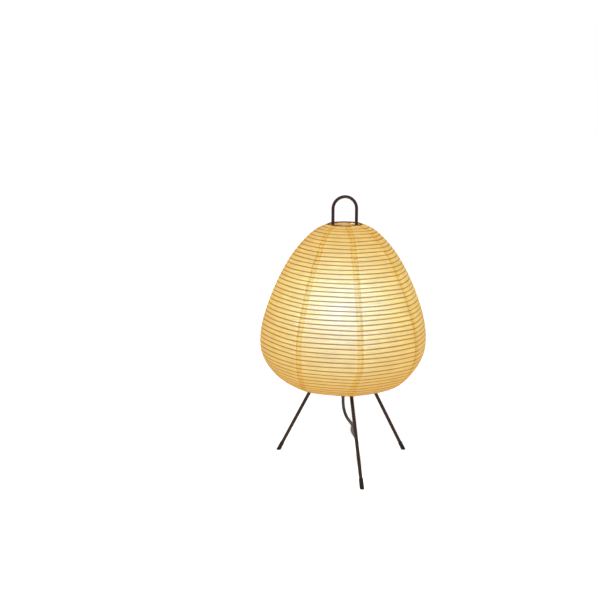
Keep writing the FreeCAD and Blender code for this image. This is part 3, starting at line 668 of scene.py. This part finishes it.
# %% Rubber and moulded plastic
foot_rubber = grained("foot_rubber", (0.012, 0.008, 0.007), (0.024, 0.017, 0.014), 1400,
                      (0.62, 0.85), 0.00005, shine=0.2)
lead_sheath = grained("lead_sheath", (0.030, 0.030, 0.030), (0.048, 0.047, 0.046), 1800,
                      (0.36, 0.52), 0.00002)
relief_rubber = grained("relief_rubber", (0.014, 0.013, 0.013), (0.026, 0.025, 0.025), 1500,
                        (0.5, 0.7), 0.00004)
tie_plastic = grained("tie_plastic", (0.015, 0.015, 0.015), (0.03, 0.03, 0.03), 2000,
                      (0.45, 0.62), 0.00003)
switch_plastic = grained("switch_plastic", (0.016, 0.016, 0.017), (0.026, 0.026, 0.028), 3200,
                         (0.38, 0.55), 0.00004)
rocker_gloss = grained("rocker_gloss", (0.030, 0.030, 0.031), (0.042, 0.042, 0.044), 900,
                       (0.16, 0.26), 0.00001, coat=0.3)
plug_plastic = grained("plug_plastic", (0.016, 0.016, 0.017), (0.027, 0.027, 0.029), 3000,
                       (0.4, 0.58), 0.00004)
core_plastic = grained("core_plastic", (0.10, 0.10, 0.11), (0.16, 0.16, 0.17), 2500,
                       (0.35, 0.5), 0.00001)
holder_phenolic = grained("holder_phenolic", (0.014, 0.010, 0.009), (0.030, 0.022, 0.018), 1200,
                          (0.22, 0.36), 0.00002, coat=0.2)
print("rubber and plastic ready")

# %% [markdown]
# ## Metals, board, porcelain and glass
#
# They sit inside the holder and the bulb, so they are seen only when the shade is lifted.

# %% Metals
zinc = grained("zinc", (0.42, 0.43, 0.44), (0.62, 0.63, 0.64), 1600, (0.26, 0.44), 0.00002, 1.0)
cap_metal = grained("cap_metal", (0.62, 0.62, 0.64), (0.82, 0.82, 0.84), 1400, (0.2, 0.36),
                    0.00002, 1.0)
brass = grained("brass", (0.55, 0.38, 0.14), (0.78, 0.58, 0.26), 1300, (0.24, 0.4), 0.00002, 1.0)
blade_metal = grained("blade_metal", (0.58, 0.53, 0.44), (0.76, 0.72, 0.63), 1500, (0.2, 0.34),
                      0.00001, 1.0, (1, 8, 8))
solder_metal = grained("solder_metal", (0.38, 0.38, 0.38), (0.62, 0.62, 0.62), 1800,
                       (0.3, 0.5), 0.00005, 1.0)
tungsten = grained("tungsten", (0.25, 0.25, 0.27), (0.42, 0.42, 0.45), 3000, (0.3, 0.45),
                   0.00001, 1.0)
print("metals ready")

# %% [markdown]
# The holder's liner is brown board, its insert is glazed porcelain, and a ring of black
# glass parts the two contacts of the bulb.

# %% Board, porcelain and black glass
liner_board = grained("liner_board", (0.30, 0.20, 0.11), (0.48, 0.35, 0.21), 2200, (0.7, 0.92),
                      0.00006)
porcelain = grained("porcelain", (0.72, 0.70, 0.66), (0.84, 0.82, 0.78), 500, (0.08, 0.18),
                    0.00002, coat=0.5)
black_glass = grained("black_glass", (0.006, 0.006, 0.008), (0.014, 0.014, 0.018), 700,
                      (0.06, 0.16), 0.00001)
print("board, porcelain and black glass ready")

# %% [markdown]
# Split bamboo is pale straw with long darker fibres. It is seen from inside, and through the
# paper as a dark line, where the paper's finish also paints its shadow.

# %% Bamboo
bamboo_finish = grained("bamboo_strip", (0.22, 0.13, 0.05), (0.42, 0.29, 0.13), 2600,
                        (0.45, 0.7), 0.00005, along=(1, 1, 4))
print("bamboo", bamboo_finish.material.name)

# %% [markdown]
# ## The bulb
#
# An opal bulb looks evenly bright all over, with a thin gloss and a very faint mottle. Its
# envelope shows a warm white of its own. The light that reaches the paper comes from a
# lamp inside it, so the envelope lets that lamp's shadow rays pass.

# %% Opal glass
opal = Finish("opal_glow")
opal_spots = opal.noise(120, 3, 0.5)
opal.join(opal.blend(opal_spots, (0.40, 0.38, 0.34), (0.44, 0.42, 0.38)),
          opal.surface.inputs["Base Color"])
opal.join(opal.blend(opal_spots, (0.96, 0.78, 0.48), (1.0, 0.84, 0.54)),
          opal.surface.inputs["Emission Color"])
opal.surface.inputs["Emission Strength"].default_value = 0.55
opal.surface.inputs["Roughness"].default_value = 0.22
opal_path = opal.nodes.new("ShaderNodeLightPath")
opal_open = opal.nodes.new("ShaderNodeBsdfTransparent")
opal.show(opal.mix(opal_path.outputs["Is Shadow Ray"], opal.surface, opal_open))
opal.material.cycles.emission_sampling = "NONE"
print("glass", opal.material.name)

# %% [markdown]
# The stem that holds the filament is clear glass.

# %% Clear glass
clear = Finish("clear_glass")
clear_spots = clear.noise(300, 2, 0.5)
clear.join(clear.spread(clear_spots, 0.3, 0.7, 0.02, 0.06), clear.surface.inputs["Roughness"])
clear.surface.inputs["Transmission Weight"].default_value = 0.9
clear.surface.inputs["Base Color"].default_value = (0.93, 0.95, 0.95, 1)
print("glass", clear.material.name)

# %% [markdown]
# ## The paper's finish
#
# Washi is thin and full of long fibres. Lit from inside it glows warm, and it is palest where the
# bulb is close behind it. The shadows of the bamboo are painted on it as thin dark lines, and the
# double paper of the laps is deeper in colour. A picture of paper would repeat and would not know
# where the bamboo is, so the patterns come from noise and from the facts that the points keep.

# %% The patterns of the paper
washi = Finish("washi_lit")
line_core = 0.06
line_edge = 0.15
lap_fade = (0.0088, 0.0092)


def kept(fact):
    """What the points of the paper keep, read back for the finish."""
    node = washi.nodes.new("ShaderNodeAttribute")
    node.attribute_name = fact
    return node.outputs["Fac"]


# The bamboo's painted shadow: a dark line where the count of turns is whole.
part_turn = washi.reckon("FRACT", washi.reckon("ADD", kept("turns"), 0.5))
from_rib = washi.reckon("ABSOLUTE", washi.reckon("SUBTRACT", part_turn, 0.5))
bamboo_shadow_line = washi.reckon("MULTIPLY", washi.spread(from_rib, line_core, line_edge, 1, 0),
                        kept("ribbed"))
lap_band = washi.spread(kept("from_edge"), *lap_fade, 1, 0)
# Where the rings' painted shadows and the painted shade near the bottom fall.
ring_shadow = kept("ring_shadow")
near_bottom = kept("near_bottom")
cloud = washi.noise(55, 5, 0.6)
pulp = washi.noise(900, 3, 0.6)
print("paper patterns ready")

# %% [markdown]
# The long fibres are the lines of equal value in a twisted noise, which wander as fibres do.

# %% The fibres
def fibres(scale, width, twist):
    """Thin wandering lines, 1 on the line and 0 away from it."""
    waves = washi.noise(scale, 2, 0.5, distortion=twist)
    off_line = washi.reckon("ABSOLUTE", washi.reckon("SUBTRACT", waves, 0.5))
    return washi.spread(off_line, 0, width, 1, 0)


fibre = washi.reckon("MAXIMUM", fibres(60, 0.006, 1.2), fibres(85, 0.005, 2.0))
print("fibres ready")

# %% [markdown]
# Each share of the paper's light has its own colour, and all are marked alike: clouds and
# fibres, the painted shadows of the bamboo and of the rings behind both edges, and a painted
# shade that deepens the tone towards the bottom, where the light meets the paper at a low angle.

# %% The colours of the paper
fibre_share = 0.10
ring_shadow_tint = (0.34, 0.27, 0.18)
bottom_shade_tint = (0.93, 0.82, 0.68)


def tinted(colour, rib_shadow_tint):
    """A colour of the paper with its clouds and fibres, the painted shadows of the bamboo and the
    rings, and the painted shade towards the bottom.
    """
    clouded = washi.blend(washi.spread(cloud, 0.3, 0.7, 0, 1), tuple(c * 0.95 for c in colour),
                          tuple(min(c * 1.05, 1) for c in colour))
    marked = washi.blend(washi.reckon("MULTIPLY", fibre, fibre_share), clouded,
                         tuple(c * 0.6 for c in colour))
    # Darker tints paint the shadows of the bamboo and the rings, and the shade towards the bottom.
    for where, tint in ((bamboo_shadow_line, rib_shadow_tint), (ring_shadow, ring_shadow_tint),
                        (near_bottom, bottom_shade_tint)):
        marked = washi.blend(where, marked, washi.blend(1.0, marked, tint, "MULTIPLY"))
    return marked


# The dull face also carries the painted shadow of the bamboo.
washi.join(tinted((0.60, 0.46, 0.27), (0.72, 0.66, 0.55)), washi.surface.inputs["Base Color"])
washi.surface.inputs["Roughness"].default_value = 0.75
washi.surface.inputs["Specular IOR Level"].default_value = 0.25
washi.relief(washi.reckon("ADD", washi.reckon("MULTIPLY", pulp, 0.4), fibre), 0.00004, 0.6)
print("dull face ready")

# %% [markdown]
# Light comes through the paper in three ways: in all directions, in a wide cone round the
# straight way, and in a narrower cone that makes the pale spot in front of the bulb. A
# steady painted glow, given off by the paper itself, stands for the light of the many bounces
# inside the shade. It is weaker on the laps, because two papers glow there.

# %% The light that comes through
glow_single = 0.44
glow_lap = 0.06
bamboo_shadow_colour = (0.38, 0.44, 0.38)


def paper_light(kind, colour, rib_shadow_tint):
    """A shader of that kind in a colour of the paper."""
    node = washi.nodes.new(kind)
    washi.join(tinted(colour, rib_shadow_tint), node.inputs["Color"])
    return node


# Each kind of light carries its own tint for the bamboo's painted shadow.
through_paper = paper_light("ShaderNodeBsdfTranslucent", (0.62, 0.42, 0.18), (0.45, 0.42, 0.36))
wide_paper = paper_light("ShaderNodeBsdfRefraction", (0.34, 0.95, 0.56), bamboo_shadow_colour)
wide_paper.inputs["Roughness"].default_value = 1.0
wide_paper.inputs["IOR"].default_value = 2.0
narrow_paper = paper_light("ShaderNodeBsdfRefraction", (0.05, 0.10, 1.00), bamboo_shadow_colour)
narrow_paper.inputs["Roughness"].default_value = 0.85
narrow_paper.inputs["IOR"].default_value = 1.5
# The painted glow: light that the paper gives off itself, with the bamboo's painted shadow in it.
glow = paper_light("ShaderNodeEmission", (0.98, 0.35, 0.035), (0.58, 0.56, 0.50))
washi.join(washi.spread(lap_band, 0, 1, glow_single, glow_lap), glow.inputs["Strength"])
print("four kinds of light ready")

# %% [markdown]
# The shares are mixed one after the other. Where two papers lap, each would dim the other
# too much, so the outer one is mostly open there and only tints what lies behind it.

# %% Mix the paper
narrow_share = 0.3
straight_share = 0.7
through_share = 0.7
lap_open_share = 0.9
straight_light = washi.mix(narrow_share, wide_paper, narrow_paper)
all_light = washi.mix(straight_share, through_paper, straight_light)
single_paper = washi.mix(through_share, washi.surface, all_light)
lap_open = washi.nodes.new("ShaderNodeBsdfTransparent")
lap_open.inputs["Color"].default_value = (0.98, 0.955, 0.84, 1)
lapped_paper = washi.mix(washi.reckon("MULTIPLY", lap_band, lap_open_share),
                         single_paper, lap_open)
washi.show(washi.add(lapped_paper, glow))
washi.material.cycles.emission_sampling = "NONE"
print("paper finish ready")

# %% [markdown]
# ## Dress every piece
#
# The table says which finish each node wears.

# %% Give the finishes
wears = {
    ring_paint: ["top_ring", "bottom_ring"],
    frame_paint: ["carrying_loop", "harp_wire_right", "harp_wire_left", "leg_front",
                  "leg_right", "leg_left"],
    plate_paint: ["hub_plate"],
    zinc: ["hub_lock_nut", "threaded_nipple", "holder_washer", "switch_screws", "switch_pin"],
    relief_rubber: ["strain_relief"],
    lead_sheath: ["inner_cable", "cord_lead", "cord_tail", "cord_coil", "cord_plug_tail"],
    core_plastic: ["supply_wires"],
    holder_phenolic: ["holder_cap"],
    brass: ["holder_shell", "holder_screw_shell", "holder_centre_contact",
            "holder_terminal_screws", "switch_contacts", "switch_spring"],
    liner_board: ["holder_liner"],
    porcelain: ["holder_insert"],
    solder_metal: ["bulb_tip_contact"],
    black_glass: ["bulb_insulator"],
    cap_metal: ["bulb_screw_shell"],
    opal: ["bulb_envelope"],
    clear: ["bulb_stem"],
    tungsten: ["bulb_filament"],
    tie_plastic: ["cord_tie"],
    switch_plastic: ["switch_lower_shell", "switch_upper_shell"],
    rocker_gloss: ["switch_rocker"],
    plug_plastic: ["plug_body"],
    blade_metal: ["plug_blades"],
    foot_rubber: ["foot_tip_front", "foot_tip_right", "foot_tip_left"],
    washi: [f"paper_gore_{i + 1}" for i in range(paper_count)],
    bamboo_finish: [f"bamboo_rib_{i + 1}" for i in range(bamboo_count)],
}
dressed = 0
for finish, names in wears.items():
    for name in names:
        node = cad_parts[name]
        node.data.materials.clear()
        node.data.materials.append(finish.material)
        dressed += 1
for pieces, finish in (([lead, tail], lead_sheath), (bamboo_lengths, bamboo_finish),
                       (paper_strips, washi)):
    for piece in pieces:
        piece.data.materials.append(finish.material)
print("dressed", dressed, "of", len(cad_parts), "nodes")

# %% [markdown]
# ## Light
#
# The bulb's light comes from a round lamp a little smaller than the globe, so that the
# wires and the holder cast soft shadows on the paper. It turns and lifts with the bulb.

# %% Light the bulb
globe_height = 0.239
bpy.ops.object.select_all(action="DESELECT")
bpy.ops.object.light_add(type="POINT", location=(0, 0, globe_height))
bulb_light = bpy.context.object
bulb_light.name = "bulb_light"
bulb_light.data.energy = 2.6
bulb_light.data.color = (1.0, 0.93, 0.82)
bulb_light.data.shadow_soft_size = 0.026
bulb_light.visible_camera = False
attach(bulb_light, "bulb_glass")
print("bulb light", round(bulb_light.data.energy, 2), "W")

# %% [markdown]
# The room is a plain white studio: a soft lamp from the upper left, a weaker one from the
# right, and an even white surround.

# %% Light the studio
lamp_side = 1.2
aim_height = 0.2


def soft_lamp(name, place, power):
    """A square lamp that faces the object."""
    bpy.ops.object.light_add(type="AREA", location=place)
    lamp = bpy.context.object
    lamp.name = name
    lamp.data.size = lamp_side
    lamp.data.energy = power
    aim = Vector(place) - Vector((0, 0, aim_height))
    lamp.rotation_euler = aim.to_track_quat("Z", "Y").to_euler()


soft_lamp("key_lamp", (-1.1, -1.2, 1.5), 14)
soft_lamp("fill_lamp", (1.5, -0.7, 0.9), 5)
print("studio lamps ready")

# %% [markdown]
# The surround shows white to the camera, in reflections and through glass, and gives less
# light than that to the object.

# %% Which rays see the background
def background_rays(tree):
    """1 for the rays that show the background and 0 for those that only bring its light."""
    path = tree.nodes.new("ShaderNodeLightPath")
    seen = path.outputs["Is Camera Ray"]
    for ray in ("Is Glossy Ray", "Is Transmission Ray"):
        either = tree.nodes.new("ShaderNodeMath")
        either.operation = "MAXIMUM"
        tree.links.new(seen, either.inputs[0])
        tree.links.new(path.outputs[ray], either.inputs[1])
        seen = either.outputs[0]
    return seen


# %% [markdown]
# Two plain white backgrounds, one for each kind of ray, are mixed by that.

# %% The surround
world = bpy.data.worlds.new("studio")
bpy.context.scene.world = world
world.use_nodes = True
tree = world.node_tree
even = tree.nodes["Background"]
shown = tree.nodes.new("ShaderNodeBackground")
for background, strength in ((even, 0.5), (shown, 1.0)):
    background.inputs["Color"].default_value = (1, 1, 1, 1)
    background.inputs["Strength"].default_value = strength
either = tree.nodes.new("ShaderNodeMixShader")
tree.links.new(background_rays(tree), either.inputs["Fac"])
tree.links.new(even.outputs[0], either.inputs[1])
tree.links.new(shown.outputs[0], either.inputs[2])
tree.links.new(either.outputs[0], tree.nodes["World Output"].inputs["Surface"])
print("surround ready")

# %% [markdown]
# The floor is white and wide. Part of its white is its own, so that the lamp's shadow on
# it stays light.

# %% The floor
own_white = 0.6
bpy.ops.object.select_all(action="DESELECT")
bpy.ops.mesh.primitive_circle_add(vertices=96, radius=14, fill_type="NGON",
                                  location=(0, 0, -0.0002))
floor = bpy.context.object
floor.name = "floor"
floor_white = Finish("floor_white")
floor_white.surface.inputs["Roughness"].default_value = 0.9
floor_white.surface.inputs["Specular IOR Level"].default_value = 0.0
floor_white.join(
    floor_white.blend(floor_white.noise(3, 3), (0.86, 0.86, 0.86), (0.88, 0.88, 0.88)),
    floor_white.surface.inputs["Base Color"])
floor_glow = floor_white.nodes.new("ShaderNodeEmission")
floor_seen = background_rays(floor_white.material.node_tree)
floor_white.join(floor_white.reckon("MULTIPLY", floor_seen, own_white),
                 floor_glow.inputs["Strength"])
floor_white.show(floor_white.add(floor_white.surface, floor_glow))
floor.data.materials.append(floor_white.material)
print("floor ready")

# %% [markdown]
# ## Finish
#
# The colours are shown as they are written.

# %% Show the colours as they are written
bpy.context.scene.view_settings.view_transform = "Standard"
